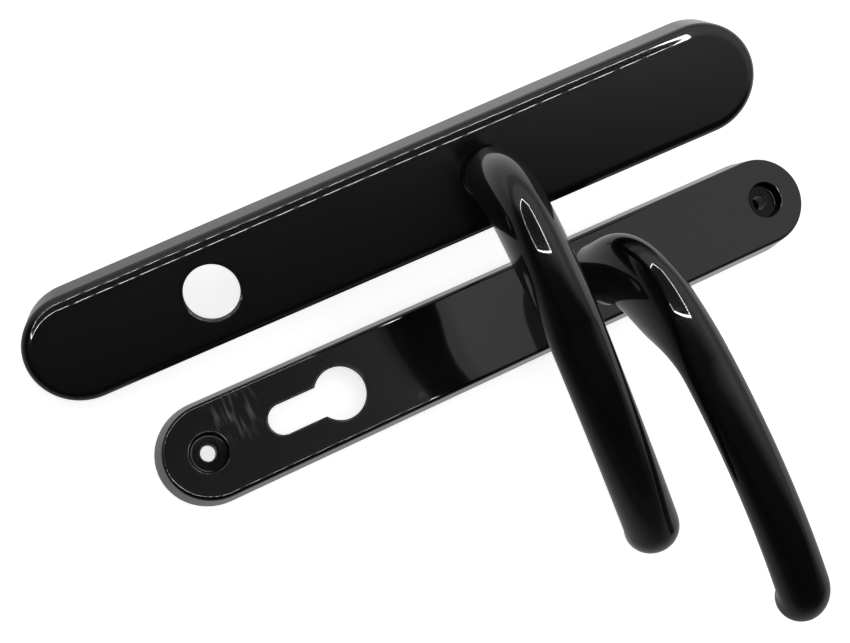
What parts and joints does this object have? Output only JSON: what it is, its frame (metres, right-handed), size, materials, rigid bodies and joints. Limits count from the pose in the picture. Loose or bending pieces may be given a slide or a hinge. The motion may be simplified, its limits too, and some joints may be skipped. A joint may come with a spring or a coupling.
{
  "type": "door lever handle pair",
  "caption": "Pair of sprung lever handles on long gloss black backplates, for a door lock with a euro cylinder: round opening outside, keyhole opening inside.",
  "frame": {"origin": "on the middle of the inside plate's back rim, level with its spindle, on the long side away from the lever", "axes": "+X runs up the inside plate and away from the cylinder opening, +Z comes out of its front, and the inside lever points towards -Y"},
  "size_m": [0.2716, 0.1982, 0.1056],
  "materials": {
    "plate_gloss_black": "gloss black powder coat on die-cast zinc",
    "lever_gloss_black": "gloss black powder coat on die-cast zinc",
    "nylon": "natural nylon",
    "spring_steel": "oiled spring steel",
    "plated_steel": "bright zinc plating",
    "dark_steel": "hardened and phosphated steel"
  },
  "bodies": {
    "plates": {"inside_backplate": "plate_gloss_black", "inside_bush": "nylon", "inside_return_spring": "spring_steel", "inside_spring_cover": "plated_steel", "inside_lower_cover_screw": "dark_steel", "inside_upper_cover_screw": "dark_steel", "inside_lower_stiffener": "dark_steel", "inside_upper_stiffener": "dark_steel", "outside_backplate": "plate_gloss_black", "outside_bush": "nylon", "outside_return_spring": "spring_steel", "outside_spring_cover": "plated_steel", "outside_lower_cover_screw": "dark_steel", "outside_upper_cover_screw": "dark_steel", "outside_guard_plate": "dark_steel", "outside_upper_stiffener": "dark_steel", "outside_lower_bolt_post": "plated_steel", "outside_upper_bolt_post": "plated_steel"},
    "outside_handle": {"outside_lever": "lever_gloss_black", "outside_cam": "plated_steel", "outside_circlip": "spring_steel", "spindle": "plated_steel", "spindle_pin": "dark_steel"},
    "inside_handle": {"inside_lever": "lever_gloss_black", "inside_cam": "plated_steel", "inside_circlip": "spring_steel", "inside_grub_screw": "dark_steel"}
  },
  "joints": [
    {"name": "outside_lever_turn", "type": "hinge", "parent": "plates", "child": "outside_handle", "pos_m": [-0.0265, 0.0315, 0.0406], "axis": [-0.2388, -0.3186, 0.9173], "range_deg": [-40, 18]},
    {"name": "inside_lever_turn", "type": "hinge", "parent": "plates", "child": "inside_handle", "pos_m": [0, -0.0159, 0], "axis": [0, 0, 1], "range_deg": [-40, 18]}
  ],
  "couplings": [
    {"joint": "inside_lever_turn", "follows": "outside_lever_turn", "ratio": 1}
  ]
}
